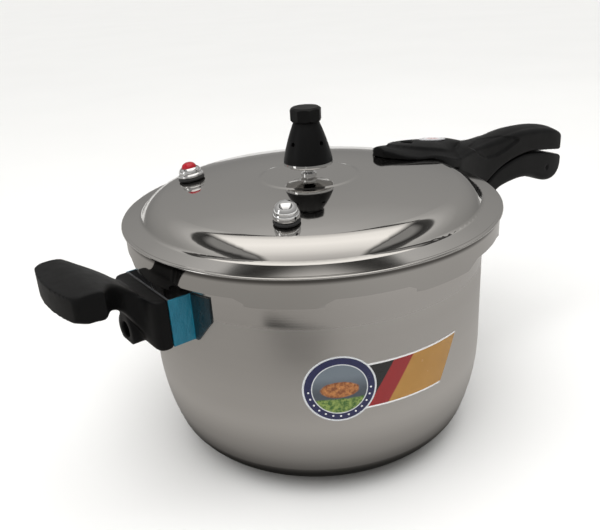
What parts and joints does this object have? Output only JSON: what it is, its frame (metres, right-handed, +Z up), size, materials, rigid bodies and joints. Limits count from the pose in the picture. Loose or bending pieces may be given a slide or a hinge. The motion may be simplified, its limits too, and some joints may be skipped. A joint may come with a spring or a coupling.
{
  "type": "pressure cooker",
  "caption": "Stove-top pressure cooker: deep round steel pot, bayonet lid with weighted vent and two valves, long double handle and short fan-shaped helper handle.",
  "frame": {"origin": "middle of the flat base, on the surface it stands on", "axes": "+Z up along the pot's axis; +X along the long double handle; the helper handle is on -X"},
  "size_m": [0.479, 0.267, 0.2403],
  "materials": {
    "brushed_steel": "satin, brushed round the body",
    "polished_steel": "mirror polished",
    "blue_film_steel": "steel under a blue protective film",
    "black_bakelite": "fine grained matt",
    "silicone": "soft matt",
    "dark_rubber": "matt",
    "red_silicone": "smooth",
    "aluminium": "plain",
    "zinc_steel": "plated",
    "badge_white": "printed oval",
    "label_print": "printed film",
    "band_print": "printed film"
  },
  "bodies": {
    "pot": {"band_label": "band_print", "base_cap": "polished_steel", "base_core": "aluminium", "helper_bracket": "blue_film_steel", "helper_handle": "black_bakelite", "helper_screw": "zinc_steel", "helper_weld_nut": "zinc_steel", "pot_bracket": "polished_steel", "pot_handle": "black_bakelite", "pot_handle_screw": "zinc_steel", "pot_shell": "brushed_steel", "pot_weld_nut": "zinc_steel", "round_label": "label_print"},
    "gasket": {"gasket": "silicone"},
    "lid": {"indicator_housing": "polished_steel", "indicator_inner_washer": "dark_rubber", "indicator_nut": "zinc_steel", "indicator_washer": "dark_rubber", "lid_handle": "black_bakelite", "lid_handle_badge": "badge_white", "lid_handle_screws": "zinc_steel", "lid_handle_strap": "polished_steel", "lid_shell": "polished_steel", "safety_inner_washer": "dark_rubber", "safety_nut": "zinc_steel", "safety_spring": "zinc_steel", "safety_valve_body": "polished_steel", "safety_valve_cap": "polished_steel", "safety_washer": "dark_rubber", "vent_inner_washer": "dark_rubber", "vent_nut": "zinc_steel", "vent_pipe": "polished_steel", "vent_strainer": "zinc_steel"},
    "weight": {"weight_cap": "black_bakelite", "weight_core": "polished_steel", "weight_dish": "polished_steel", "weight_shell": "black_bakelite"},
    "indicator": {"indicator_tip": "red_silicone", "indicator_pin": "zinc_steel", "indicator_seal": "dark_rubber"},
    "safety_plunger": {"safety_plunger": "zinc_steel"}
  },
  "joints": [
    {"name": "lid_lift", "type": "slide", "parent": "pot", "child": "gasket", "axis": [0, 0, 1], "range_m": [0, 0.12]},
    {"name": "lid_turn", "type": "hinge", "parent": "gasket", "child": "lid", "pos_m": [0, 0, 0.17], "axis": [0, 0, 1], "range_deg": [0, 22.5]},
    {"name": "weight_lift", "type": "slide", "parent": "lid", "child": "weight", "axis": [0, 0, 1], "range_m": [0, 0.03]},
    {"name": "indicator_rise", "type": "slide", "parent": "lid", "child": "indicator", "axis": [-0.0879, 0.0994, 0.9912], "range_m": [0, 0.004]},
    {"name": "safety_pop", "type": "slide", "parent": "lid", "child": "safety_plunger", "axis": [-0.0963, -0.0914, 0.9912], "range_m": [0, 0.0015], "stiffness_N_per_m": 400, "springref_m": -0.002, "deforming": ["safety_spring"]}
  ]
}
